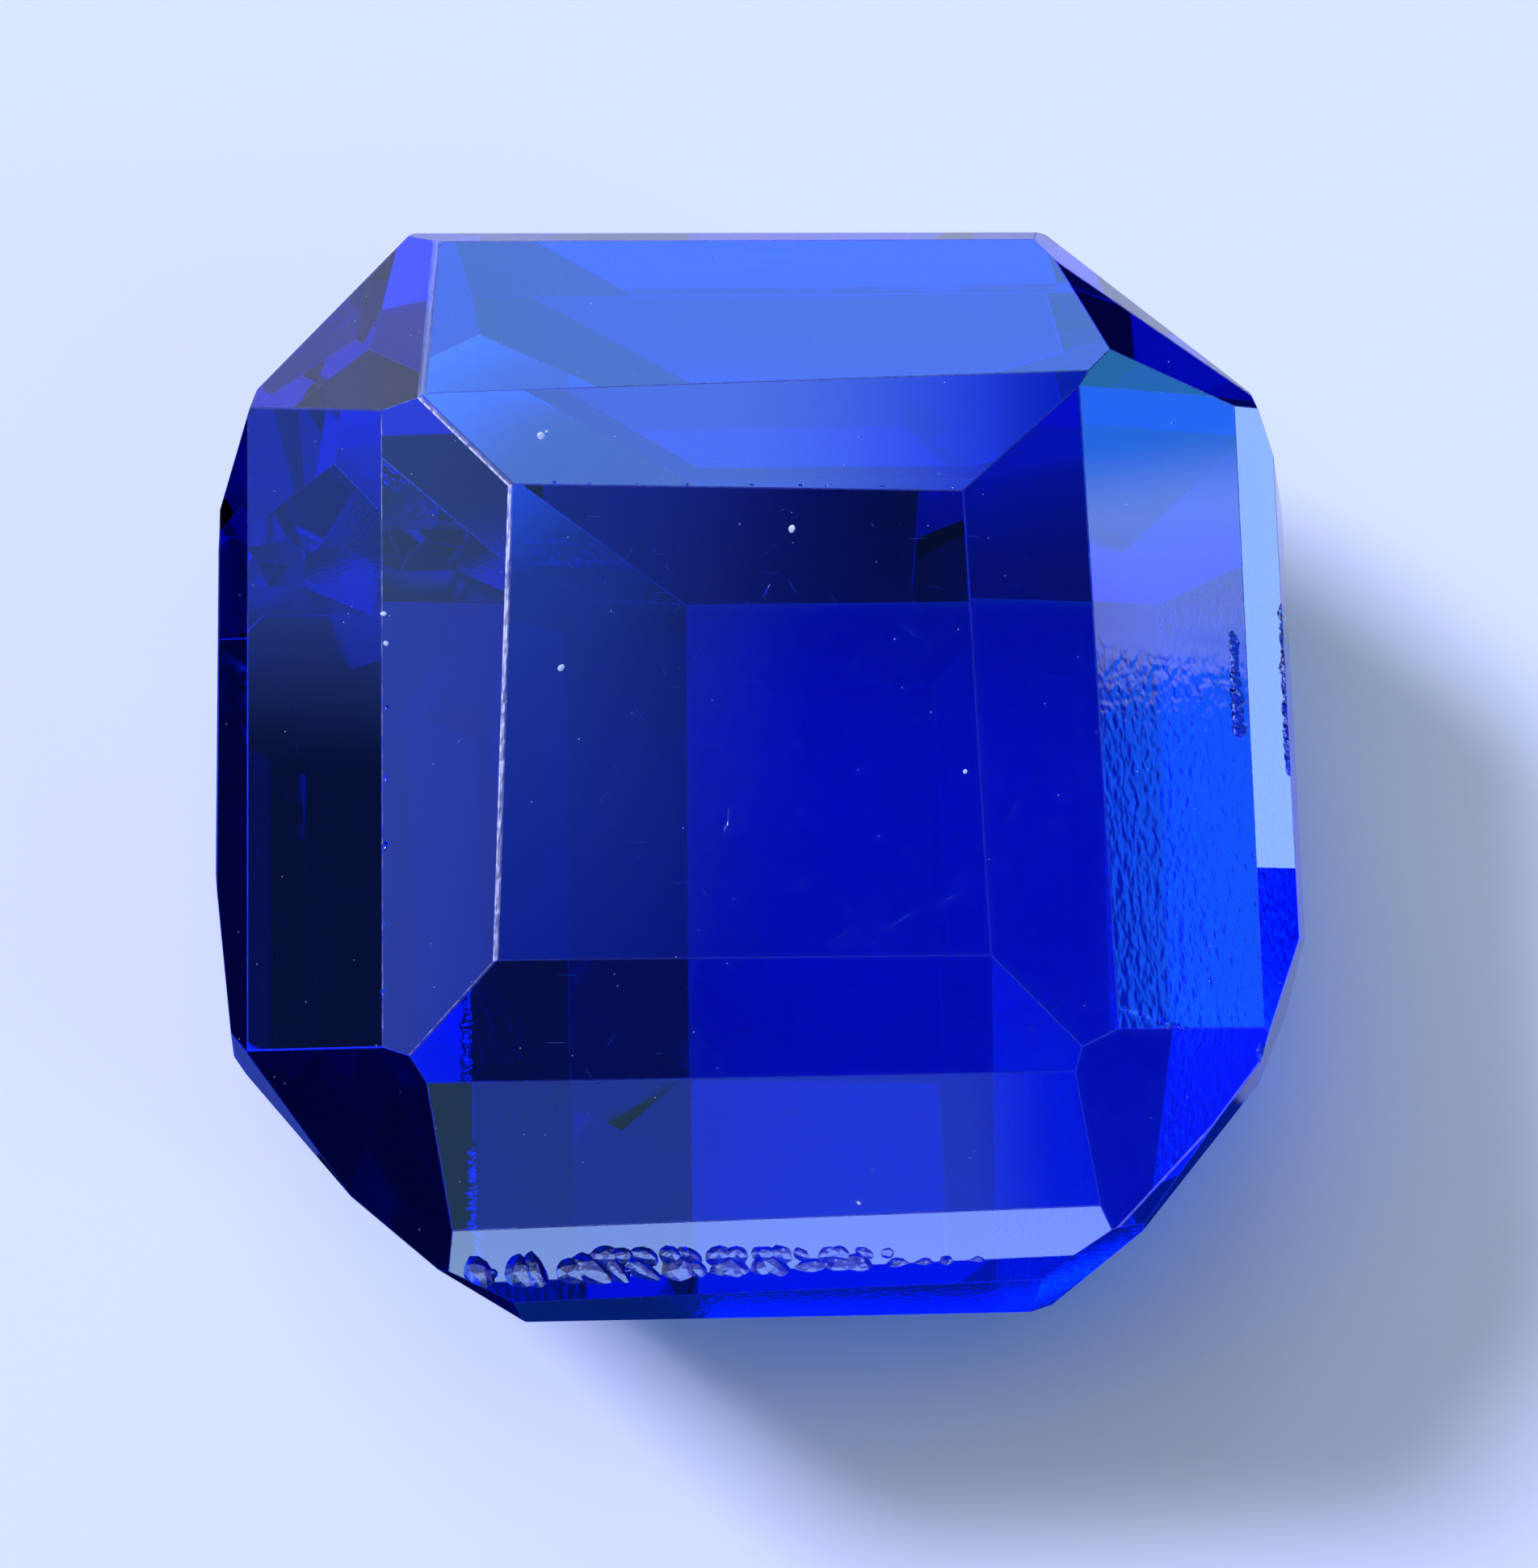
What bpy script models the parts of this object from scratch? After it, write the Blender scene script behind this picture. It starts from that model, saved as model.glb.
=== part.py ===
"""A loose blue sapphire, about 20 mm across, cut by hand as an octagonal step cut.

The stone is one crystal, so the model is one solid. It is made the way a cutter makes it:
a block of rough is ground away one flat facet at a time. Each facet is a plane given by the
way it faces round the stone, its tilt from level, and how far it stands from the stone's axis
at a stated height. Nothing is perfectly square, because the real facets wander by a degree or
two and by a few tenths of a millimetre.

Millimetres inside the script, metres in the scene. +Z is up and the table is on top.
The origin is on the base facet, under the middle of the girdle.
"""

import math

import bmesh
import bpy
from mathutils import Matrix, Vector

MM = 0.001

# heights above the base facet
DEPTH = 13.2
CROWN_BREAK = 12.34
CROWN_LOW = 10.52
CROWN_FOOT = 9.83
GIRDLE = 7.60
PAVILION_BREAK = 5.20
BASE = 0.0

# how far the base facet runs from the axis to the north, east and west; to the south it runs
# on until it meets the one tall facet there
BASE_NORTH = 3.40
BASE_EAST = 4.40
BASE_WEST = 1.30

# half the side of the block of rough that the facets are cut from
ROUGH = 14.0

# the sapphire's own values
IOR = 1.77
ROUGHNESS = 0.02
SAPPHIRE_BLUE = (0.01, 0.035, 0.42, 1.0)

# Compass of the stone: east is +X, north is +Y, and the bearing turns from east to north.
# A row is (bearing in degrees, tilt in degrees, reach in mm, height in mm): the plane passes
# at `reach` from the axis where it crosses `height`.
CROWN = {
    "inner step north": (88.5, 22.0, 3.62, DEPTH),
    "inner step east": (2.2, 22.0, 3.80, DEPTH),
    "inner step south": (270.0, 22.0, 4.65, DEPTH),
    "inner step west": (178.4, 23.0, 4.29, DEPTH),
    "middle step north": (89.6, 31.0, 5.77, CROWN_BREAK),
    "middle step east": (2.1, 34.0, 5.95, CROWN_BREAK),
    "middle step south": (270.2, 38.5, 6.68, CROWN_BREAK),
    "middle step west": (179.3, 35.0, 6.38, CROWN_BREAK),
    "crown corner north-west": (132.0, 39.5, 8.20, CROWN_BREAK),
    "crown corner north-east": (46.6, 53.0, 8.76, CROWN_BREAK),
    "crown corner south-east": (320.0, 44.0, 8.45, CROWN_BREAK),
    "crown corner south-west": (229.0, 50.0, 8.75, CROWN_BREAK),
    "outer step north": (89.6, 60.0, 9.02, CROWN_LOW),
    "outer step east": (1.5, 49.0, 8.72, CROWN_LOW),
    "outer step south": (270.5, 46.0, 8.93, CROWN_LOW),
    "outer step west": (180.0, 50.0, 9.00, CROWN_LOW),
    "foot step south": (271.0, 58.0, 9.60, CROWN_FOOT),
    "outer step north-east": (50.0, 62.0, 10.20, CROWN_LOW),
    "outer step south-east": (317.5, 70.0, 10.60, CROWN_LOW),
}

GIRDLE_RING = {
    "girdle north": (89.4, 78.0, 9.95, GIRDLE),
    "girdle north-east": (50.0, 84.0, 11.00, GIRDLE),
    "girdle east by north": (17.5, 84.0, 10.85, GIRDLE),
    "girdle east": (1.0, 80.0, 9.95, GIRDLE),
    "girdle east by south": (341.5, 84.0, 10.58, GIRDLE),
    "girdle south-east": (322.0, 84.0, 10.98, GIRDLE),
    "girdle south by east": (297.0, 82.0, 11.22, GIRDLE),
    "girdle south": (271.6, 80.0, 10.24, GIRDLE),
    "girdle south by west": (250.5, 82.0, 11.18, GIRDLE),
    "girdle south-west": (217.0, 86.0, 10.84, GIRDLE),
    "girdle west by south": (186.5, 84.0, 10.10, GIRDLE),
    "girdle west": (180.5, 82.0, 9.95, GIRDLE),
    "girdle west by north": (163.0, 84.0, 10.75, GIRDLE),
    "girdle north-west": (138.0, 86.0, 11.17, GIRDLE),
}

# Under the girdle the tilt is counted from straight down. The cutter kept as much of the rough
# as would stand: the sides are steep, and only the north and west have a middle step.
PAVILION = {
    "upper pavilion north": (90.0, 70.0, 10.10, GIRDLE),
    "upper pavilion east": (1.0, 83.0, 10.02, GIRDLE),
    "upper pavilion south": (269.0, 65.0, 10.25, GIRDLE),
    "upper pavilion west": (180.0, 80.0, 9.98, GIRDLE),
    "middle pavilion north": (90.0, 48.0, 8.45, PAVILION_BREAK),
    "middle pavilion west": (180.0, 59.0, 8.65, PAVILION_BREAK),
    "lower pavilion north": (90.0, 45.0, BASE_NORTH, BASE),
    "lower pavilion east": (0.0, 20.0, BASE_EAST, BASE),
    "lower pavilion west": (180.0, 34.0, BASE_WEST, BASE),
    "pavilion corner north-west": (143.0, 56.0, 11.15, GIRDLE),
    "pavilion corner north-east": (49.0, 80.0, 10.65, GIRDLE),
    "pavilion corner south-east": (318.0, 80.0, 10.75, GIRDLE),
    "pavilion corner south-west": (230.0, 80.0, 10.55, GIRDLE),
}


def facing(bearing, tilt, downward):
    """The direction straight out of a facet."""
    b = math.radians(bearing)
    t = math.radians(tilt)
    up = -math.cos(t) if downward else math.cos(t)
    return Vector((math.sin(t) * math.cos(b), math.sin(t) * math.sin(b), up))


def grind(stone, point, normal):
    """Grind the stone flat down to one plane, and close the cut with the new facet."""
    everything = stone.verts[:] + stone.edges[:] + stone.faces[:]
    cut = bmesh.ops.bisect_plane(stone, geom=everything, dist=1e-5, plane_co=point,
                                 plane_no=normal, clear_outer=True)
    rim = [e for e in cut["geom_cut"] if isinstance(e, bmesh.types.BMEdge)]
    if rim:
        bmesh.ops.edgeloop_fill(stone, edges=rim)


def cut_facets(stone, plan, downward=False):
    """Grind every facet of one part of the cutting plan."""
    for bearing, tilt, reach, height in plan.values():
        b = math.radians(bearing)
        point = Vector((reach * math.cos(b), reach * math.sin(b), height))
        grind(stone, point, facing(bearing, tilt, downward))


def centre_outline(stone):
    """Slide the stone level until the middle of its outline is over the origin."""
    xs = [v.co.x for v in stone.verts]
    ys = [v.co.y for v in stone.verts]
    middle = Vector((min(xs) + max(xs), min(ys) + max(ys), 0.0)) / 2.0
    bmesh.ops.translate(stone, verts=stone.verts, vec=-middle)


def sapphire_material():
    """Clear blue crystal with a high polish."""
    material = bpy.data.materials.new("polished_blue_sapphire")
    material.use_nodes = True
    shader = material.node_tree.nodes["Principled BSDF"]
    shader.inputs["Base Color"].default_value = SAPPHIRE_BLUE
    shader.inputs["Roughness"].default_value = ROUGHNESS
    shader.inputs["Metallic"].default_value = 0.0
    shader.inputs["IOR"].default_value = IOR
    shader.inputs["Transmission Weight"].default_value = 1.0
    return material


def blue_sapphire():
    """The whole cut stone."""
    stone = bmesh.new()
    bmesh.ops.create_cube(stone, size=2.0 * ROUGH)
    bmesh.ops.translate(stone, verts=stone.verts, vec=(0.0, 0.0, 0.5 * DEPTH))
    grind(stone, Vector((0.0, 0.0, DEPTH)), Vector((0.0, 0.0, 1.0)))
    grind(stone, Vector((0.0, 0.0, BASE)), Vector((0.0, 0.0, -1.0)))
    cut_facets(stone, GIRDLE_RING)
    cut_facets(stone, CROWN)
    cut_facets(stone, PAVILION, downward=True)
    centre_outline(stone)
    bmesh.ops.transform(stone, matrix=Matrix.Scale(MM, 4), verts=stone.verts)
    bmesh.ops.recalc_face_normals(stone, faces=stone.faces)

    mesh = bpy.data.meshes.new("blue_sapphire")
    stone.to_mesh(mesh)
    stone.free()
    mesh.materials.append(sapphire_material())
    piece = bpy.data.objects.new("blue_sapphire", mesh)
    bpy.context.scene.collection.objects.link(piece)
    return piece


def clear_scene():
    for old in list(bpy.data.objects):
        bpy.data.objects.remove(old, do_unlink=True)


clear_scene()
blue_sapphire()
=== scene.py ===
"""The looks of a loose blue sapphire: its worn facet edges, chips, polish, clear blue body and what is sealed in it.

Sizes are in millimetres up to the point where a mesh is made, and everything in Blender is in metres.
East is +X and north is +Y, as in the cutting plan.
"""

import math
import random

import bmesh
import bpy
from mathutils import Matrix, Vector


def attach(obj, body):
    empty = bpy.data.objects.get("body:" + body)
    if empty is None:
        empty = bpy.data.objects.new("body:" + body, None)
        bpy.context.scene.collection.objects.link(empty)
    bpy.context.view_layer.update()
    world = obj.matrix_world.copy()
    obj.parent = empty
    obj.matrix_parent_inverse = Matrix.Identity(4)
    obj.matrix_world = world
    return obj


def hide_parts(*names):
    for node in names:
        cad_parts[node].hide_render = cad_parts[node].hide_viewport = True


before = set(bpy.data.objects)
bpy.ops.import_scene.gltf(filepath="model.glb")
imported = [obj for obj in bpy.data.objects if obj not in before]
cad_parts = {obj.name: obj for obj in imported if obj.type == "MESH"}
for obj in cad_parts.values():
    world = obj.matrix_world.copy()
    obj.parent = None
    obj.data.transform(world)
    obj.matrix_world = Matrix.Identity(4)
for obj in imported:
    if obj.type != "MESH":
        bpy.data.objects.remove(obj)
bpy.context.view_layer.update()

MM = 0.001

# the stone's optics
CORUNDUM_IOR = 1.77

# facets left ground and not polished: the girdle, by its steepness and height, and the lower east facet,
# by the way it faces; then how strongly each is ground. A face turned this far from every facet is worn edge.
GIRDLE_STEEP = 0.30
GIRDLE_BAND = (7.0, 10.4)
GIRDLE_GRIND = 0.6
EAST_GROUND = Vector((math.sin(math.radians(20.0)), 0.0, -math.cos(math.radians(20.0))))
EAST_GRIND = 1.0
EAST_SCUFFED = Vector((math.sin(math.radians(34.0)), 0.02, math.cos(math.radians(34.0))))
EAST_SCUFF = 0.20
EDGE_TURN = 0.4
EDGE_WEAR = 1.6
CHIP_FROST = 0.5
SCAR_FROST = 0.7
SCAR_EAST = 7.8
GROUND_ROUGHNESS = 0.22
# depth in millimetres of the grinding grit, and how dull the finger marks and wheel lines are
GRIT_DEPTH = 0.012
SMEAR_ROUGHNESS = 0.035

# worn edges: how wide the rounding looks from outside, and how many narrow flats make it
FRESH_EDGE = 0.035
EDGE_FLATS = 3
EDGE_SPREAD = 0.35
# the edges that have had most knocks: a point on each, and the width of its wear
WORN_EDGES = {
    "table west": ((-4.34, -0.33, 13.20), 0.12),
    "inner step north to west": ((-5.04, 4.78, 12.84), 0.14),
    "inner step south to west": ((-5.20, -5.28, 12.89), 0.07),
    "middle step north to corner": ((-5.80, 7.53, 11.38), 0.19),
    "corner north-west to girdle": ((-7.68, 8.09, 10.01), 0.09),
    "middle step west to corner": ((-7.85, 5.85, 11.29), 0.06),
    "outer step north to girdle": ((-0.50, 9.65, 9.67), 0.09),
    "outer step north-east, inside": ((7.33, 7.58, 10.07), 0.09),
    "outer step north-east, outside": ((7.28, 8.11, 9.36), 0.10),
    "outer step south-east": ((7.94, -7.06, 10.13), 0.10),
    "foot step south": ((0.27, -9.81, 9.28), 0.07),
}

# Shell-shaped chips along an edge: from, to, how many, how long each is, how far it reaches,
# how far it turns from the edge in degrees, how flat it is, and what share of it is sunk in.
CHIPPED_EDGES = {
    "south outer step": ((-5.1, -9.47, 9.82), (5.3, -9.44, 9.82), 22, (0.30, 0.75), (0.22, 0.46),
                         (5.0, 45.0), 2.8, 0.07),
    "south outer step, face": ((-2.9, -9.22, 10.06), (2.4, -9.22, 10.06), 14, (0.25, 0.50), (0.14, 0.26),
                               (35.0, 65.0), 2.2, 0.05),
    "south outer step, small": ((-5.2, -9.47, 9.82), (5.6, -9.44, 9.82), 14, (0.08, 0.20), (0.05, 0.10),
                                (-40.0, 40.0), 1.6, 0.14),
    "east outer step scar": ((9.55, 2.45, 9.48), (9.58, -0.60, 9.50), 34, (0.08, 0.20), (0.12, 0.28),
                             (-70.0, 70.0), 1.25, 0.24),
    "east middle step scar": ((8.50, 1.75, 10.58), (8.52, -0.10, 10.56), 30, (0.08, 0.20), (0.10, 0.22),
                              (-70.0, 70.0), 1.25, 0.20),
    "south-east corner top": ((6.10, -5.28, 12.20), (7.35, -5.55, 11.45), 14, (0.05, 0.14), (0.03, 0.07),
                              (-60.0, 60.0), 1.25, 0.25),
    "south-east corner end": ((8.75, -5.70, 10.30), (8.95, -6.20, 10.05), 10, (0.06, 0.14), (0.06, 0.14),
                              (-80.0, 80.0), 1.25, 0.30),
    "table north": ((-4.0, 3.88, 13.19), (3.6, 3.70, 13.19), 9, (0.03, 0.09), (0.02, 0.04),
                    (-40.0, 40.0), 1.25, 0.22),
    "inner step west": ((-6.42, 4.8, 12.30), (-6.40, -5.2, 12.30), 9, (0.04, 0.10), (0.02, 0.05),
                        (-40.0, 40.0), 1.25, 0.22),
}

# fine scratches on the polish: middle, bearing, length
SCRATCHES = (
    ((1.40, -4.15, 13.20), 25.0, 0.55),
    ((1.75, -4.22, 13.20), 160.0, 0.40),
    ((1.30, -4.32, 13.20), 10.0, 0.30),
    ((2.40, -3.90, 13.20), 35.0, 0.62),
    ((2.85, -4.20, 13.20), 150.0, 0.34),
    ((3.20, -3.55, 13.20), 28.0, 0.45),
    ((0.70, -3.25, 13.20), 20.0, 0.38),
    ((-0.50, -2.10, 13.20), 84.0, 0.42),
    ((-0.56, -2.22, 13.20), 95.0, 0.30),
    ((2.60, 1.20, 13.20), 140.0, 0.50),
    ((-2.40, -1.20, 13.20), 118.0, 0.36),
    ((0.20, 1.90, 13.20), 64.0, 0.28),
)
SCRATCH_WIDTH = 0.022

# what is sealed in the crystal, all within a box well inside the facets
SILK = {"Half box": (4.2 * MM, 4.6 * MM, 3.6 * MM), "Middle": (0.6 * MM, -0.8 * MM, 7.6 * MM), "Needles": 90,
        "Specks": 70, "Needle length": 0.30 * MM, "Needle width": 0.009 * MM, "Speck width": 0.022 * MM,
        "Seed": 21}

# grains of dust on top of the stone: place and width
GRAINS = (
    ((-3.71, 4.84, 12.80), 0.17),
    ((-3.62, 4.93, 12.77), 0.09),
    ((0.65, 3.00, 13.20), 0.15),
    ((-3.34, 0.57, 13.20), 0.14),
    ((-6.49, 1.80, 12.25), 0.14),
    ((-6.44, 1.26, 12.28), 0.12),
    ((3.57, -1.33, 13.20), 0.12),
    ((1.68, -8.42, 10.82), 0.10),
)

# The light of the room as the stone sees it. A window is its bearing, half width and side softness,
# its lower and upper elevation and their softness, all in degrees, then its radiance and colour.
WINDOWS = {
    "key, north-west": (148.0, 9.5, 3.0, 42.0, 56.0, 3.0, 72.0, "C4CAFF"),
    "north, low": (98.0, 34.0, 8.0, 3.0, 15.0, 3.0, 2.6, "9AD6A7"),
    "north, low, blue": (84.0, 12.0, 4.0, 3.0, 13.0, 2.0, 4.5, "0030FF"),
    "north": (106.0, 19.0, 3.0, 17.0, 33.0, 3.0, 2.0, "B4F4A8"),
    "north, blue": (90.0, 12.0, 4.0, 26.0, 34.0, 2.0, 3.5, "0030FF"),
    "north, strip": (111.0, 7.0, 2.0, 0.5, 5.5, 1.5, 14.0, "FFFFFF"),
    "north, high": (93.0, 9.0, 3.0, 44.0, 60.0, 4.0, 3.5, "1030FF"),
    "west, high": (167.0, 6.0, 3.0, 42.0, 52.0, 3.0, 1.7, "3A6BFF"),
    "overhead": (150.0, 55.0, 10.0, 64.0, 78.0, 4.0, 0.9, "6EA0BC"),
    "west": (160.0, 12.0, 4.0, 27.0, 40.0, 4.0, 1.8, "76A0FF"),
    "west, low": (147.5, 18.0, 1.5, 4.0, 20.0, 4.0, 2.0, "5479FF"),
    "north-east": (27.0, 9.5, 1.0, 8.0, 26.0, 3.0, 4.0, "3FA5FF"),
    "north-east, veil": (17.2, 1.3, 0.6, 8.0, 26.0, 3.0, 1.3, "FFF4B0"),
    "east, low": (12.5, 5.0, 1.0, 9.0, 16.5, 1.0, 5.0, "1A73FF"),
    "east": (13.0, 9.0, 3.0, 27.0, 38.0, 2.0, 0.30, "1E3CFF"),
    "east, high": (52.0, 12.0, 3.0, 28.0, 42.0, 3.0, 0.30, "1E3CFF"),
    "south, low": (270.0, 20.0, 6.0, -6.0, 7.0, 4.0, 6.5, "A0C4FF"),
    "south, middle": (253.6, 20.0, 0.8, 14.0, 24.0, 2.0, 0.40, "ADFFC0"),
    "south, above": (270.0, 42.0, 8.0, 8.0, 30.0, 3.0, 0.35, "0A28FF"),
    "south-east, high": (305.0, 20.0, 6.0, 48.0, 68.0, 5.0, 0.60, "2A5AFF"),
    "east, glint": (333.0, 8.0, 2.0, 30.0, 60.0, 3.0, 4.0, "8FDCFF"),
}
# the bearings that part the room into sectors; no window crosses the first
SECTORS = (-15.0, 62.0, 122.0, 215.0, 345.0)
ROOM_LIGHT = (0.02, 0.05, 0.05)
BACKDROP = "D6DCE8"

# lamps: size in metres, place, radiance, colour, and whether it is a card that only the stone mirrors and passes on
# or a lamp that only lights
CARDS = (
    ("fill_lamp", (0.60, 0.60), (-0.10, 0.10, 0.90), 2.4, "FFE9B4", False),
    ("east_card", (0.026, 0.006), (0.038, 0.017, 0.003), 6.5, "A1CDFF", True),
    ("south_east_card", (0.016, 0.006), (0.034, -0.022, 0.003), 5.0, "DCEBFF", True),
)

# Painted reflections: dark and blue sheets laid round the stone except to the north and north-west. Only the stone
# sees them, mirrored or through its facets, so they paint dark and blue patches in it. Inner and outer radius in
# metres, the bearings each runs between, and its colour.
PAINTED_REFLECTION_SHEETS = (
    (0.0105, 0.032, 150.0, 215.0, "3A4E9E"),
    (0.032, 0.20, 155.0, 215.0, "060A18"),
    (0.0105, 0.20, 215.0, 250.0, "060A18"),
    (0.0105, 0.10, 250.0, 330.0, "0C3C8C"),
    (0.0235, 0.20, 330.0, 425.0, "060A18"),
)
PAINTED_REFLECTION_STEPS = 24

# where the camera of the photograph stood
PHOTO_SIZE = (1904, 1941)
CAMERA_TILT = 12.0
CAMERA_ROLL = -0.6
CAMERA_DISTANCE = 72.9
PIXELS_PER_MM = 72.4
CAMERA_AIM = (0.21, -1.51, 13.2)
SENSOR = 36.0


def linear(code):
    """An sRGB hex colour, such as "7CB2FF", as linear red, green and blue."""
    parts = [int(code[i:i + 2], 16) / 255.0 for i in (0, 2, 4)]
    return tuple(c / 12.92 if c <= 0.04045 else ((c + 0.055) / 1.055) ** 2.4 for c in parts)


def add_node(tree, kind, settings=None, **links):
    """Add a node. Settings are its properties and inputs; links feed its inputs from other sockets."""
    node = tree.nodes.new(kind)
    for name, value in (settings or {}).items():
        if name in node.inputs:
            node.inputs[name].default_value = value
        else:
            setattr(node, name, value)
    for name, source in links.items():
        tree.links.new(source, node.inputs[name.replace("_", " ")])
    return node


def new_material(name):
    material = bpy.data.materials.new(name)
    material.use_nodes = True
    return material, material.node_tree, material.node_tree.nodes["Principled BSDF"]


def add_object(name, mesh):
    piece = bpy.data.objects.new(name, mesh)
    bpy.context.scene.collection.objects.link(piece)
    return piece


# The stone

def cut_stone(node):
    """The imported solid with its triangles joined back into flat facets, in millimetres."""
    stone = bmesh.new()
    stone.from_mesh(node.data)
    bmesh.ops.transform(stone, matrix=Matrix.Scale(1.0 / MM, 4), verts=stone.verts)
    bmesh.ops.remove_doubles(stone, verts=stone.verts, dist=1e-4)
    bmesh.ops.dissolve_limit(stone, angle_limit=math.radians(0.2), verts=stone.verts, edges=stone.edges)
    bmesh.ops.recalc_face_normals(stone, faces=stone.faces)
    return stone


def grind(stone, point, normal):
    """Take the stone down to one plane."""
    everything = stone.verts[:] + stone.edges[:] + stone.faces[:]
    cut = bmesh.ops.bisect_plane(stone, geom=everything, dist=1e-6, plane_co=point,
                                 plane_no=normal, clear_outer=True)
    rim = [e for e in cut["geom_cut"] if isinstance(e, bmesh.types.BMEdge)]
    if rim:
        bmesh.ops.edgeloop_fill(stone, edges=rim)


def wear_edges(stone, draw):
    """Round every facet edge with a few narrow flats, wider where it has had knocks."""
    cuts = []
    for edge in stone.edges:
        one, two = edge.link_faces
        turn = one.normal.angle(two.normal)
        middle = (edge.verts[0].co + edge.verts[1].co) / 2.0
        width = FRESH_EDGE * draw.uniform(1.0 - EDGE_SPREAD, 1.0 + EDGE_SPREAD)
        for place, wear in WORN_EDGES.values():
            if distance_to_edge(Vector(place), edge) < 0.45:
                width = max(width, wear)
        radius = width / (2.0 * math.tan(turn / 2.0))
        axis = middle - (one.normal + two.normal) * (radius / (1.0 + one.normal.dot(two.normal)))
        for flat in range(EDGE_FLATS):
            share = (flat + 0.5) / EDGE_FLATS
            normal = one.normal.slerp(two.normal, share) if turn > 1e-3 else one.normal.copy()
            cuts.append((axis + normal * radius, normal))
    for point, normal in cuts:
        grind(stone, point, normal)


def chip_edges(draw):
    """Cutters for the shell-shaped chips: lens-like lumps strung along the edges, half sunk in them."""
    sets = [bmesh.new(), bmesh.new(), bmesh.new()]
    count = 0
    for start, end, number, lengths, reaches, turns, flatness, sunk in CHIPPED_EDGES.values():
        start = Vector(start)
        end = Vector(end)
        along = (end - start).normalized()
        outward = Vector((start.x + end.x, start.y + end.y, 0.0)).normalized()
        outward = (outward + Vector((0.0, 0.0, 0.9))).normalized()
        across = outward.cross(along)
        for index in range(number):
            share = (index + draw.uniform(0.15, 0.85)) / number
            length = draw.uniform(*lengths)
            reach = draw.uniform(*reaches)
            place = start.lerp(end, share) + outward * reach * (1.0 - sunk)
            spin = Matrix.Rotation(math.radians(draw.uniform(*turns)), 3, outward)
            axes = Matrix((spin @ along, spin @ across, outward)).transposed().to_4x4()
            shape = Matrix.Diagonal((length, reach * flatness, reach, 1.0))
            lump(sets[count % len(sets)], Matrix.Translation(place) @ axes @ shape, draw)
            count += 1
    return sets


def lump(cutter, matrix, draw):
    """One egg with a slightly wavy skin, so that the chip it cuts has ripples."""
    made = bmesh.ops.create_icosphere(cutter, subdivisions=3, radius=1.0)
    phase = draw.uniform(0.0, 6.0)
    for vert in made["verts"]:
        ripple = math.sin(7.0 * vert.co.x + phase) * math.sin(6.0 * vert.co.y - phase)
        vert.co = matrix @ (vert.co * (1.0 + 0.02 * ripple))


def scratch_polish():
    """Cutters for the scratches: needles that lie half in the surface."""
    cutter = bmesh.new()
    for place, bearing, length in SCRATCHES:
        turn = Matrix.Rotation(math.radians(bearing), 4, "Z")
        shape = Matrix.Diagonal((length / 2.0, SCRATCH_WIDTH / 2.0, SCRATCH_WIDTH / 3.0, 1.0))
        bmesh.ops.create_icosphere(cutter, subdivisions=2, radius=1.0,
                                   matrix=Matrix.Translation(place) @ turn @ shape)
    return cutter


def cut_away(piece, cutters):
    """Take each cutter out of the piece, then drop the cutters."""
    helpers = []
    for number, cutter in enumerate(cutters):
        mesh = bpy.data.meshes.new("cutter")
        cutter.to_mesh(mesh)
        cutter.free()
        helper = add_object("cutter", mesh)
        modifier = piece.modifiers.new("chips", "BOOLEAN")
        modifier.operation = "DIFFERENCE"
        modifier.solver = "EXACT"
        modifier.use_self = True
        modifier.object = helper
        helpers.append(helper)
    graph = bpy.context.evaluated_depsgraph_get()
    finished = bpy.data.meshes.new_from_object(piece.evaluated_get(graph))
    piece.modifiers.clear()
    piece.data = finished
    for helper in helpers:
        bpy.data.objects.remove(helper, do_unlink=True)


def distance_to_edge(point, edge):
    a = edge.verts[0].co
    b = edge.verts[1].co
    along = b - a
    share = max(0.0, min(1.0, (point - a).dot(along) / max(along.length_squared, 1e-9)))
    return (point - (a + along * share)).length


def mark_finish(mesh, facets):
    """A number on every face for how dull it is: nought where polished, more where ground or worn."""
    values = []
    for face in mesh.polygons:
        normal = face.normal
        if min(normal.angle(facet) for facet in facets) > math.radians(EDGE_TURN):
            values.append(EDGE_WEAR)
        elif abs(normal.z) < GIRDLE_STEEP and GIRDLE_BAND[0] < face.center.z < GIRDLE_BAND[1]:
            values.append(GIRDLE_GRIND)
        elif normal.angle(EAST_GROUND) < math.radians(2.0):
            values.append(EAST_GRIND)
        else:
            values.append(0.0)
    mesh.attributes.new("ground", "FLOAT", "FACE").data.foreach_set("value", values)
    scuffs = [EAST_SCUFF if face.normal.angle(EAST_SCUFFED) < math.radians(2.0) else 0.0 for face in mesh.polygons]
    mesh.attributes.new("scuffed", "FLOAT", "FACE").data.foreach_set("value", scuffs)


def frost_chips(mesh, facets):
    """The broken skin of a chip is duller than polish: most of all where the east side is scarred."""
    dullness = mesh.attributes["ground"].data
    for face in mesh.polygons:
        on_facet = min(face.normal.angle(facet) for facet in facets) < math.radians(EDGE_TURN)
        if dullness[face.index].value == 0.0 and not on_facet:
            dullness[face.index].value = SCAR_FROST if face.center.x > SCAR_EAST else CHIP_FROST


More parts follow.
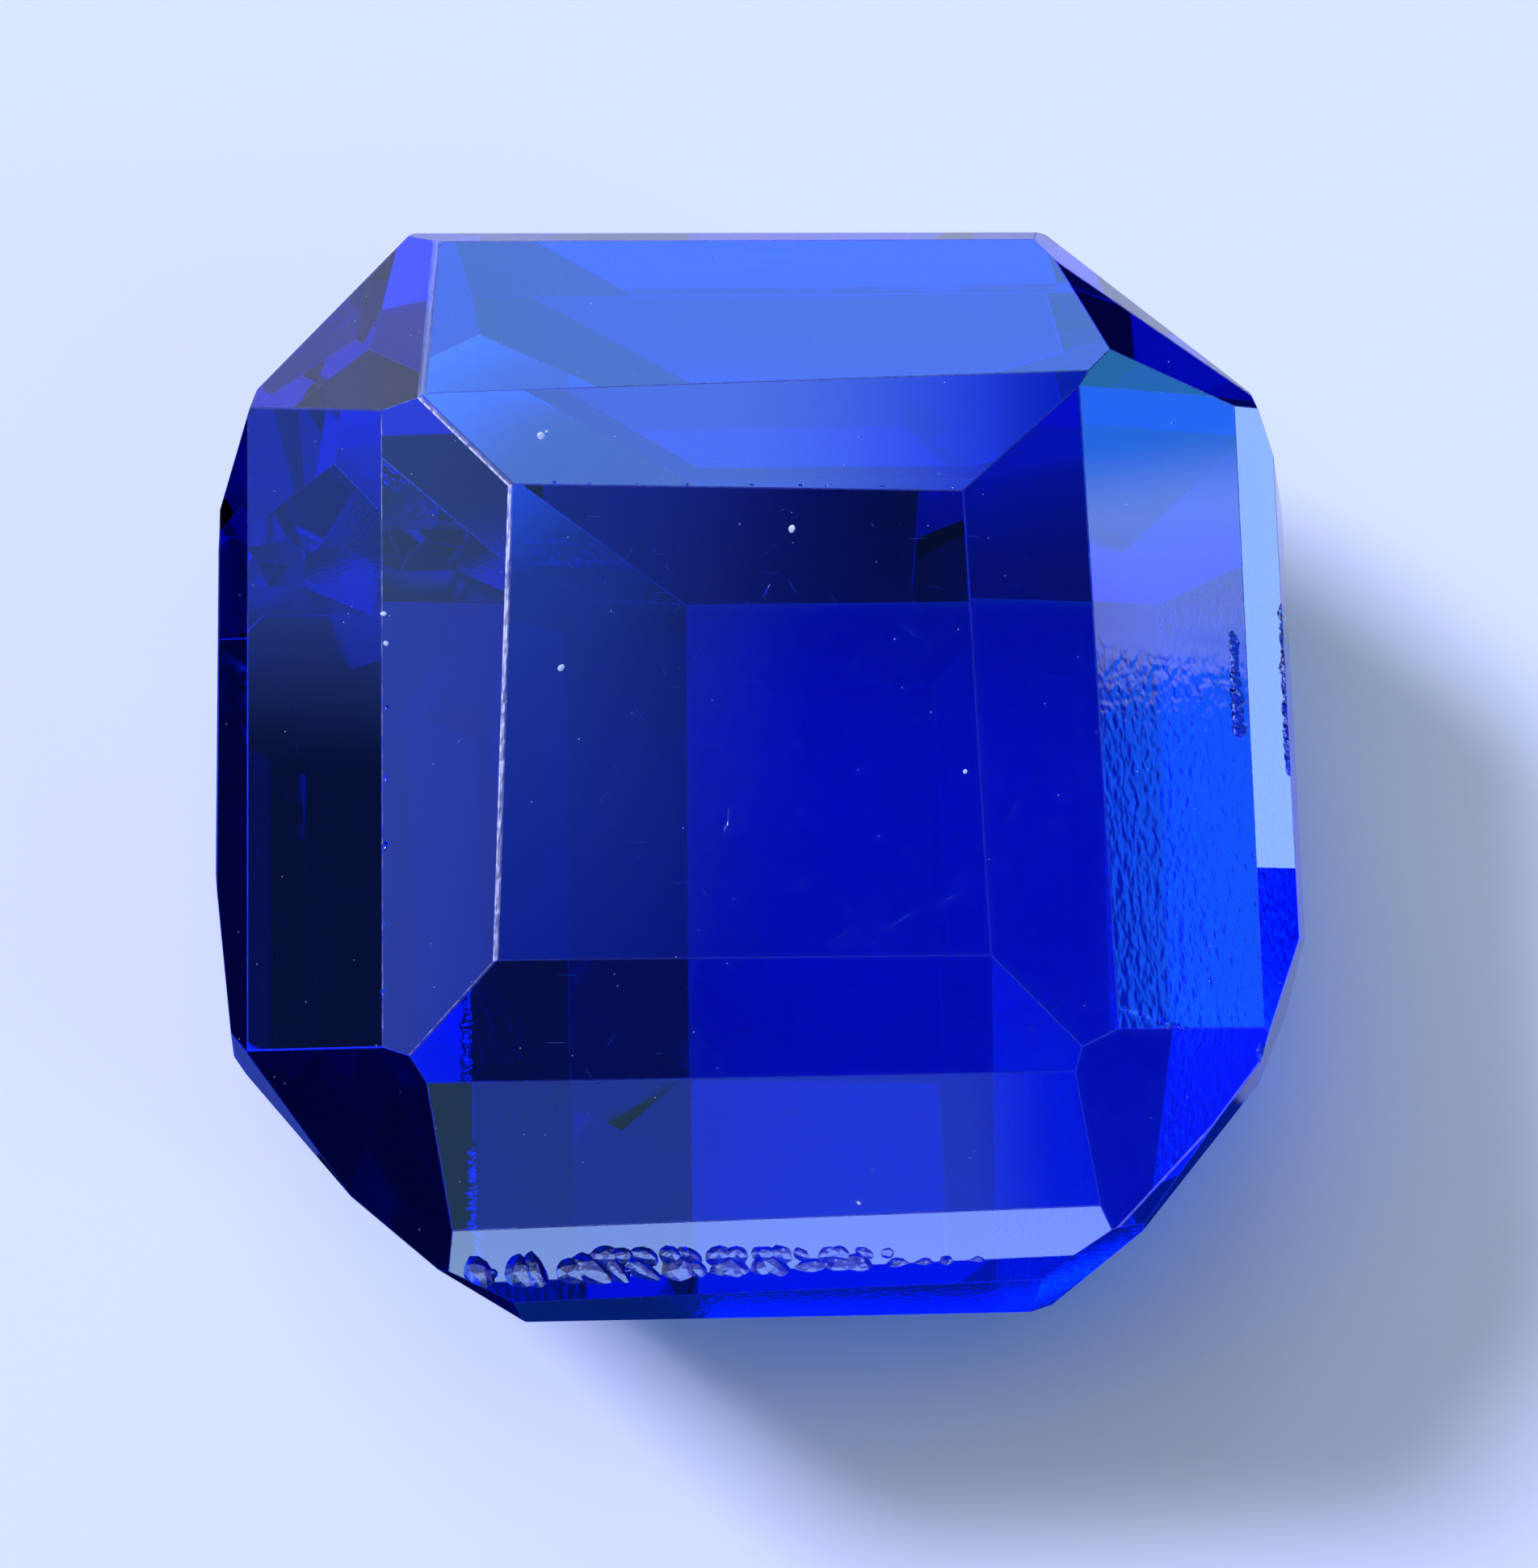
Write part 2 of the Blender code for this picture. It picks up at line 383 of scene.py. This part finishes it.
def sapphire_body():
    """Corundum, cut and polished: clear blue, with bright reflections and dark total-reflection patches.

    The girdle and the lower facet in the east are left ground, so light comes through them broken up
    and grainy. Over the polish lie faint wheel lines and finger marks.
    """
    material, tree, shader = new_material("polished_blue_corundum")
    shader.inputs["Base Color"].default_value = (1.0, 1.0, 1.0, 1.0)
    shader.inputs["IOR"].default_value = CORUNDUM_IOR
    shader.inputs["Transmission Weight"].default_value = 1.0
    place = add_node(tree, "ShaderNodeTexCoord").outputs["Object"]
    ground = add_node(tree, "ShaderNodeAttribute", {"attribute_name": "ground"}).outputs["Fac"]
    lines = add_node(tree, "ShaderNodeMapping", {"Scale": (1.0, 3.0, 1.5), "Rotation": (0.0, 0.0, 0.35)},
                     Vector=place).outputs["Vector"]
    smear = add_node(tree, "ShaderNodeTexNoise", {"Scale": 0.6 / MM, "Detail": 2.0}, Vector=lines).outputs["Fac"]
    smear = arithmetic(tree, "MULTIPLY", ramp(tree, smear, 0.52, 0.70), SMEAR_ROUGHNESS)
    rough = arithmetic(tree, "MAXIMUM", arithmetic(tree, "MULTIPLY", ground, GROUND_ROUGHNESS), smear)
    tree.links.new(rough, shader.inputs["Roughness"])
    north = add_node(tree, "ShaderNodeSeparateXYZ", Vector=place).outputs["Y"]
    scuffed = add_node(tree, "ShaderNodeAttribute", {"attribute_name": "scuffed"}).outputs["Fac"]
    scuffed = arithmetic(tree, "MULTIPLY", scuffed, ramp(tree, north, 1.5 * MM, 0.9 * MM))
    rubbed = arithmetic(tree, "ADD", ground, scuffed)
    streaks = add_node(tree, "ShaderNodeMapping", {"Scale": (1.0, 0.55, 1.0)}, Vector=place).outputs["Vector"]
    grit = add_node(tree, "ShaderNodeTexNoise", {"Scale": 7.5 / MM, "Detail": 1.0}, Vector=streaks).outputs["Fac"]
    grit = arithmetic(tree, "MULTIPLY", arithmetic(tree, "MULTIPLY", grit, rubbed), GRIT_DEPTH)
    relief = add_node(tree, "ShaderNodeBump", {"Strength": 1.0, "Distance": MM}, Height=grit)
    tree.links.new(relief.outputs["Normal"], shader.inputs["Normal"])
    body = add_node(tree, "ShaderNodeVolumeAbsorption",
                    {"Color": (0.04, 0.50, 0.965, 1.0), "Density": 350.0})
    tree.links.new(body.outputs["Volume"], tree.nodes["Material Output"].inputs["Volume"])
    return material


def make_stone():
    draw = random.Random(7)
    stone = cut_stone(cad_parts["blue_sapphire"])
    facets = [face.normal.copy() for face in stone.faces]
    wear_edges(stone, draw)
    mesh = bpy.data.meshes.new("cut_sapphire")
    stone.to_mesh(mesh)
    stone.free()
    mark_finish(mesh, facets)
    mesh.materials.append(sapphire_body())
    piece = add_object("cut_sapphire", mesh)
    cut_away(piece, chip_edges(draw) + [scratch_polish()])
    frost_chips(piece.data, facets)
    piece.data.transform(Matrix.Scale(MM, 4))
    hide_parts("blue_sapphire")
    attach(piece, "root")
    return piece


def dust_material():
    """House dust: pale dull grains that catch the light."""
    material, tree, shader = new_material("settled_dust")
    shader.inputs["Roughness"].default_value = 0.95
    place = add_node(tree, "ShaderNodeTexCoord")
    mottle = add_node(tree, "ShaderNodeTexNoise", {"Scale": 9000.0, "Detail": 2.0},
                      Vector=place.outputs["Object"])
    tint = add_node(tree, "ShaderNodeValToRGB", Fac=mottle.outputs["Fac"])
    tint.color_ramp.elements[0].color = (*linear("8FA4DC"), 1.0)
    tint.color_ramp.elements[1].color = (*linear("E9F0FF"), 1.0)
    tree.links.new(tint.outputs["Color"], shader.inputs["Base Color"])
    return material


def dust_tree(material):
    """Grains on the listed places, and finer ones strewn over whatever faces up."""
    tree = bpy.data.node_groups.new("dust_grains", "GeometryNodeTree")
    tree.interface.new_socket("Geometry", in_out="OUTPUT", socket_type="NodeSocketGeometry")
    for name, kind in (("Geometry", "NodeSocketGeometry"), ("Stone", "NodeSocketObject"),
                       ("Fine grain", "NodeSocketFloat"), ("Grains per area", "NodeSocketFloat"),
                       ("Seed", "NodeSocketInt")):
        tree.interface.new_socket(name, in_out="INPUT", socket_type=kind)
    given = add_node(tree, "NodeGroupInput")
    width = add_node(tree, "GeometryNodeInputNamedAttribute", {"data_type": "FLOAT", "Name": "width"})
    listed = add_node(tree, "GeometryNodeMeshToPoints", Mesh=given.outputs["Geometry"])
    stone = add_node(tree, "GeometryNodeObjectInfo", Object=given.outputs["Stone"])
    normal = add_node(tree, "GeometryNodeInputNormal")
    split = add_node(tree, "ShaderNodeSeparateXYZ", Vector=normal.outputs["Normal"])
    upward = add_node(tree, "FunctionNodeCompare", {"operation": "GREATER_THAN", "B": 0.6},
                      A=split.outputs["Z"])
    strewn = add_node(tree, "GeometryNodeDistributePointsOnFaces", Mesh=stone.outputs["Geometry"],
                      Selection=upward.outputs["Result"], Density=given.outputs["Grains per area"],
                      Seed=given.outputs["Seed"])
    grain = add_node(tree, "GeometryNodeMeshIcoSphere", {"Radius": 0.5, "Subdivisions": 2})
    squash = add_node(tree, "FunctionNodeRandomValue", {"data_type": "FLOAT_VECTOR"},
                      Seed=given.outputs["Seed"])
    squash.inputs["Min"].default_value = (0.6, 0.6, 0.35)
    squash.inputs["Max"].default_value = (1.2, 1.0, 0.6)
    spin = add_node(tree, "FunctionNodeRandomValue", {"data_type": "FLOAT_VECTOR"},
                    Seed=given.outputs["Seed"])
    spin.inputs["Max"].default_value = (0.5, 0.5, 6.28)
    sizes = []
    for points, size in ((listed.outputs["Points"], width.outputs["Attribute"]),
                         (strewn.outputs["Points"], given.outputs["Fine grain"])):
        scale = add_node(tree, "ShaderNodeVectorMath", {"operation": "SCALE"},
                         Vector=squash.outputs["Value"], Scale=size)
        placed = add_node(tree, "GeometryNodeInstanceOnPoints", Points=points, Instance=grain.outputs["Mesh"],
                          Rotation=spin.outputs["Value"], Scale=scale.outputs["Vector"])
        sizes.append(placed.outputs["Instances"])
    both = add_node(tree, "GeometryNodeJoinGeometry")
    for source in sizes:
        tree.links.new(source, both.inputs["Geometry"])
    real = add_node(tree, "GeometryNodeRealizeInstances", Geometry=both.outputs["Geometry"])
    done = add_node(tree, "GeometryNodeSetMaterial", {"Material": material}, Geometry=real.outputs["Geometry"])
    add_node(tree, "NodeGroupOutput", Geometry=done.outputs["Geometry"])
    return tree


def make_dust(stone):
    mesh = bpy.data.meshes.new("dust")
    mesh.from_pydata([Vector(place) * MM for place, width in GRAINS], [], [])
    widths = mesh.attributes.new("width", "FLOAT", "POINT")
    widths.data.foreach_set("value", [width * MM for place, width in GRAINS])
    piece = add_object("dust", mesh)
    tree = dust_tree(dust_material())
    run_nodes(piece, tree, {"Stone": stone, "Fine grain": 0.022 * MM, "Grains per area": 0.35 / MM ** 2, "Seed": 4})
    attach(piece, "root")
    return piece


def silk_material():
    """Rutile silk and healed specks, sealed in: pale threads that glint faintly inside the blue."""
    material, tree, shader = new_material("sealed_rutile_silk")
    shader.inputs["Roughness"].default_value = 0.35
    shader.inputs["IOR"].default_value = 2.6
    place = add_node(tree, "ShaderNodeTexCoord")
    mottle = add_node(tree, "ShaderNodeTexNoise", {"Scale": 2.0 / MM, "Detail": 2.0}, Vector=place.outputs["Object"])
    tint = add_node(tree, "ShaderNodeValToRGB", Fac=mottle.outputs["Fac"])
    tint.color_ramp.elements[0].color = (*linear("8C9CC8"), 1.0)
    tint.color_ramp.elements[1].color = (*linear("F2F4FA"), 1.0)
    tree.links.new(tint.outputs["Color"], shader.inputs["Base Color"])
    return material


def silk_tree(material):
    """Needles along the crystal's three directions, and specks, all at random places in a box."""
    tree = bpy.data.node_groups.new("sealed_silk", "GeometryNodeTree")
    tree.interface.new_socket("Geometry", in_out="OUTPUT", socket_type="NodeSocketGeometry")
    for name, kind in (("Geometry", "NodeSocketGeometry"), ("Half box", "NodeSocketVector"),
                       ("Middle", "NodeSocketVector"), ("Needles", "NodeSocketInt"), ("Specks", "NodeSocketInt"),
                       ("Needle length", "NodeSocketFloat"), ("Needle width", "NodeSocketFloat"),
                       ("Speck width", "NodeSocketFloat"), ("Seed", "NodeSocketInt")):
        tree.interface.new_socket(name, in_out="INPUT", socket_type=kind)
    given = add_node(tree, "NodeGroupInput").outputs
    grain = add_node(tree, "GeometryNodeMeshIcoSphere", {"Radius": 0.5, "Subdivisions": 1})
    way = add_node(tree, "FunctionNodeRandomValue", {"data_type": "INT"}, Seed=given["Seed"])
    way.inputs["Min"].default_value = 0
    way.inputs["Max"].default_value = 2
    sixth = arithmetic(tree, "MULTIPLY", way.outputs["Value"], math.radians(60.0))
    turn = add_node(tree, "ShaderNodeCombineXYZ", {"X": 0.12, "Y": 0.08}, Z=sixth)
    both = add_node(tree, "GeometryNodeJoinGeometry")
    for number, kind in enumerate(("Needles", "Specks")):
        line = add_node(tree, "GeometryNodeMeshLine", Count=given[kind])
        points = add_node(tree, "GeometryNodeMeshToPoints", Mesh=line.outputs["Mesh"])
        seed = arithmetic(tree, "ADD", given["Seed"], 10.0 + number)
        share = add_node(tree, "FunctionNodeRandomValue", {"data_type": "FLOAT_VECTOR"}, Seed=seed)
        share.inputs["Min"].default_value = (-1.0, -1.0, -1.0)
        spread = add_node(tree, "ShaderNodeVectorMath", {"operation": "MULTIPLY_ADD"})
        tree.links.new(share.outputs["Value"], spread.inputs[0])
        tree.links.new(given["Half box"], spread.inputs[1])
        tree.links.new(given["Middle"], spread.inputs[2])
        put = add_node(tree, "GeometryNodeSetPosition", Geometry=points.outputs["Points"],
                       Position=spread.outputs["Vector"])
        stretch = add_node(tree, "FunctionNodeRandomValue", {"data_type": "FLOAT"}, Seed=seed)
        stretch.inputs["Min"].default_value = 0.4
        stretch.inputs["Max"].default_value = 1.6
        long = given["Needle length"] if kind == "Needles" else given["Speck width"]
        thin = given["Needle width"] if kind == "Needles" else given["Speck width"]
        size = add_node(tree, "ShaderNodeCombineXYZ",
                        X=arithmetic(tree, "MULTIPLY", long, stretch.outputs["Value"]), Y=thin, Z=thin)
        made = add_node(tree, "GeometryNodeInstanceOnPoints", Points=put.outputs["Geometry"],
                        Instance=grain.outputs["Mesh"], Rotation=turn.outputs["Vector"], Scale=size.outputs["Vector"])
        tree.links.new(made.outputs["Instances"], both.inputs["Geometry"])
    real = add_node(tree, "GeometryNodeRealizeInstances", Geometry=both.outputs["Geometry"])
    done = add_node(tree, "GeometryNodeSetMaterial", {"Material": material}, Geometry=real.outputs["Geometry"])
    add_node(tree, "NodeGroupOutput", Geometry=done.outputs["Geometry"])
    return tree


def run_nodes(piece, tree, values):
    """Set the named inputs, run the nodes once and keep the mesh they make."""
    modifier = piece.modifiers.new(tree.name, "NODES")
    modifier.node_group = tree
    for item in tree.interface.items_tree:
        if item.in_out == "INPUT" and item.name in values:
            modifier[item.identifier] = values[item.name]
    graph = bpy.context.evaluated_depsgraph_get()
    made = bpy.data.meshes.new_from_object(piece.evaluated_get(graph))
    piece.modifiers.clear()
    piece.data = made


def make_silk():
    piece = add_object("sealed_silk", bpy.data.meshes.new("silk"))
    run_nodes(piece, silk_tree(silk_material()), SILK)
    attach(piece, "root")


# The studio

def make_floor():
    reach = 1.5
    mesh = bpy.data.meshes.new("studio_floor")
    mesh.from_pydata([(-reach, -reach, -2e-5), (reach, -reach, -2e-5), (reach, reach, -2e-5),
                      (-reach, reach, -2e-5)], [], [(0, 1, 2, 3)])
    material, tree, shader = new_material("matt_studio_paper")
    shader.inputs["Base Color"].default_value = (*linear("E4E6EC"), 1.0)
    shader.inputs["Roughness"].default_value = 0.9
    mesh.materials.append(material)
    floor = add_object("studio_floor", mesh)


def lay_painted_reflection_sheets():
    """Painted reflections: sheets that only the stone sees, which keep its lower facets dark as a photographer's
    black card does; the camera doesn't see them, so the floor round the stone stays pale.
    """
    for number, (inner, outer, start, end, colour) in enumerate(PAINTED_REFLECTION_SHEETS):
        corners = []
        for index in range(PAINTED_REFLECTION_STEPS + 1):
            way = math.radians(start + (end - start) * index / PAINTED_REFLECTION_STEPS)
            corners += [(r * math.cos(way), r * math.sin(way), 5e-5) for r in (inner, outer)]
        mesh = bpy.data.meshes.new("reflection_sheet")
        mesh.from_pydata(corners, [], [(i, i + 1, i + 3, i + 2) for i in range(0, len(corners) - 2, 2)])
        # the sheet's colour is a painted reflection: it shows only mirrored in the stone or through its facets
        material, tree, shader = new_material(f"dark_velvet_{number}")
        shader.inputs["Base Color"].default_value = (*linear(colour), 1.0)
        shader.inputs["Roughness"].default_value = 1.0
        shader.inputs["Specular IOR Level"].default_value = 0.0
        mesh.materials.append(material)
        reflection_sheet = add_object(f"dark_velvet_{number}", mesh)
        for kind in ("camera", "diffuse", "shadow"):
            setattr(reflection_sheet, "visible_" + kind, False)


def add_card(name, size, place, radiance, colour, seen):
    """A soft light: a rectangle of that width and height in metres, aimed at the stone."""
    lamp = bpy.data.lights.new(name, "AREA")
    lamp.shape = "RECTANGLE"
    lamp.size, lamp.size_y = size
    lamp.energy = radiance * math.pi * size[0] * size[1]
    lamp.color = linear(colour)
    card = bpy.data.objects.new(name, lamp)
    card.location = place
    aim = Vector((0.0, 0.0, 0.01)) - Vector(place)
    card.rotation_euler = aim.to_track_quat("-Z", "Y").to_euler()
    card.visible_camera = False
    card.visible_glossy = seen
    card.visible_transmission = seen
    card.visible_diffuse = not seen
    bpy.context.scene.collection.objects.link(card)


def ramp(tree, value, start, end):
    """Nought at the start and one at the end, with soft shoulders."""
    node = add_node(tree, "ShaderNodeMapRange",
                    {"interpolation_type": "SMOOTHSTEP", "From Min": start, "From Max": end}, Value=value)
    return node.outputs["Result"]


def arithmetic(tree, operation, *values):
    """One Math node; each value is a number or another node's output."""
    node = add_node(tree, "ShaderNodeMath", {"operation": operation})
    for socket, value in zip(node.inputs, values):
        if isinstance(value, (int, float)):
            socket.default_value = value
        else:
            tree.links.new(value, socket)
    return node.outputs["Value"]


def sector_light(tree, windows, bearing, height):
    """The dim room with these soft-edged windows in it."""
    light = add_node(tree, "ShaderNodeCombineXYZ", dict(zip("XYZ", ROOM_LIGHT))).outputs["Vector"]
    for middle, half, side_soft, low, high, soft, radiance, colour in windows:
        turn = arithmetic(tree, "ABSOLUTE", arithmetic(tree, "SUBTRACT", bearing, middle))
        share = ramp(tree, turn, half + side_soft, half - side_soft)
        share = arithmetic(tree, "MULTIPLY", share, ramp(tree, height, low - soft, low + soft))
        share = arithmetic(tree, "MULTIPLY", share, ramp(tree, height, high + soft, high - soft))
        tint = add_node(tree, "ShaderNodeCombineXYZ",
                        dict(zip("XYZ", [radiance * c for c in linear(colour)])))
        pane = add_node(tree, "ShaderNodeVectorMath", {"operation": "SCALE"},
                        Vector=tint.outputs["Vector"], Scale=share)
        both = add_node(tree, "ShaderNodeVectorMath", {"operation": "ADD"})
        tree.links.new(light, both.inputs[0])
        tree.links.new(pane.outputs["Vector"], both.inputs[1])
        light = both.outputs["Vector"]
    return add_node(tree, "ShaderNodeBackground", Color=light).outputs["Background"]


def hang_windows(tree):
    """The light of the room by bearing and elevation. Each sector works out only the windows that reach it."""
    way = add_node(tree, "ShaderNodeTexCoord")
    parts = add_node(tree, "ShaderNodeSeparateXYZ", Vector=way.outputs["Generated"])
    bearing = arithmetic(tree, "DEGREES", arithmetic(tree, "ARCTAN2", parts.outputs["Y"], parts.outputs["X"]))
    bearing = arithmetic(tree, "WRAP", bearing, SECTORS[-1], SECTORS[0])
    height = arithmetic(tree, "DEGREES", arithmetic(tree, "ARCSINE", parts.outputs["Z"]))
    room = None
    for start, end in zip(SECTORS, SECTORS[1:]):
        here = [w for w in WINDOWS.values() if w[0] + w[1] + w[2] > start and w[0] - w[1] - w[2] < end]
        light = sector_light(tree, here, bearing, height)
        if room:
            mix = add_node(tree, "ShaderNodeMixShader", Fac=arithmetic(tree, "GREATER_THAN", bearing, start))
            tree.links.new(room, mix.inputs[1])
            tree.links.new(light, mix.inputs[2])
            light = mix.outputs["Shader"]
        room = light
    return room


def light_studio():
    """Windows all round, lamps that only light, and a plain pale backdrop."""
    for name, size, place, radiance, colour, seen in CARDS:
        add_card(name, size, place, radiance, colour, seen)
    world = bpy.data.worlds.new("studio_air")
    bpy.context.scene.world = world
    world.use_nodes = True
    tree = world.node_tree
    backdrop = add_node(tree, "ShaderNodeBackground", {"Color": (*linear(BACKDROP), 1.0)})
    path = add_node(tree, "ShaderNodeLightPath")
    mix = add_node(tree, "ShaderNodeMixShader", Fac=path.outputs["Is Camera Ray"])
    tree.links.new(hang_windows(tree), mix.inputs[1])
    tree.links.new(backdrop.outputs["Background"], mix.inputs[2])
    tree.links.new(mix.outputs["Shader"], tree.nodes["World Output"].inputs["Surface"])


def place_camera():
    """The photograph's view: nearly straight down, leaning in from the south."""
    tilt = math.radians(CAMERA_TILT)
    roll = math.radians(CAMERA_ROLL)
    back = Vector((0.0, -math.sin(tilt), math.cos(tilt)))
    right = Vector((1.0, 0.0, 0.0))
    up = right.cross(-back)
    side = math.cos(roll) * right + math.sin(roll) * up
    top = math.cos(roll) * up - math.sin(roll) * right
    eye = (Vector(CAMERA_AIM) + back * CAMERA_DISTANCE) * MM
    data = bpy.data.cameras.new("photo_camera")
    data.sensor_fit = "VERTICAL"
    data.sensor_height = SENSOR
    data.lens = SENSOR * CAMERA_DISTANCE * PIXELS_PER_MM / PHOTO_SIZE[1]
    data.clip_start = 0.001
    camera = bpy.data.objects.new("photo_camera", data)
    camera.matrix_world = Matrix((
        (side.x, top.x, back.x, eye.x),
        (side.y, top.y, back.y, eye.y),
        (side.z, top.z, back.z, eye.z),
        (0.0, 0.0, 0.0, 1.0),
    ))
    bpy.context.scene.collection.objects.link(camera)
    bpy.context.scene.camera = camera


def set_look():
    scene = bpy.context.scene
    scene.view_settings.view_transform = "Standard"
    scene.cycles.max_bounces = 11
    scene.cycles.transmission_bounces = 11
    scene.cycles.glossy_bounces = 6
    scene.cycles.diffuse_bounces = 2


make_dust(make_stone())
make_silk()
make_floor()
lay_painted_reflection_sheets()
light_studio()
place_camera()
set_look()
